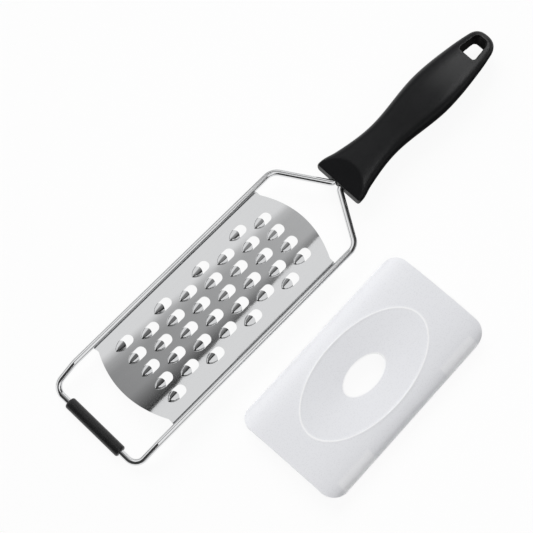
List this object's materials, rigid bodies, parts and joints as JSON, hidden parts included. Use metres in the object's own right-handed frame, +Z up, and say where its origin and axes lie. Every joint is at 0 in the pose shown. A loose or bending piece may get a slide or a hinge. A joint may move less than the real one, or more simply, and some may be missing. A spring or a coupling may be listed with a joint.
{
  "type": "hand grater",
  "caption": "Flat hand grater: bent steel rod frame, steel plate of coarse pressed teeth, black waisted handle with a hang hole, rubber foot sleeve and a lift-off milky cover.",
  "frame": {"origin": "on the table, in the middle of the flat land under the handle's belly", "axes": "+X along the grater from its foot to the hang hole, +Z up from the table, +Y away from the side where the cover lies"},
  "size_m": [0.3088, 0.1503, 0.0184],
  "materials": {
    "polished_rod": "polished",
    "steel_plate": "bright satin",
    "black_moulding": "fine grain",
    "black_rubber": "matte",
    "milky_plastic": "milky and translucent, satin"
  },
  "bodies": {
    "grater": {"wire_frame": "polished_rod", "grating_plate": "steel_plate", "handle": "black_moulding", "foot_sleeve": "black_rubber"},
    "cover": {"blade_cover": "milky_plastic"}
  },
  "joints": [
    {"name": "cover_lift", "type": "slide", "parent": "grater", "child": "cover", "axis": [0, 0, 1], "range_m": [0, 0.08]}
  ]
}
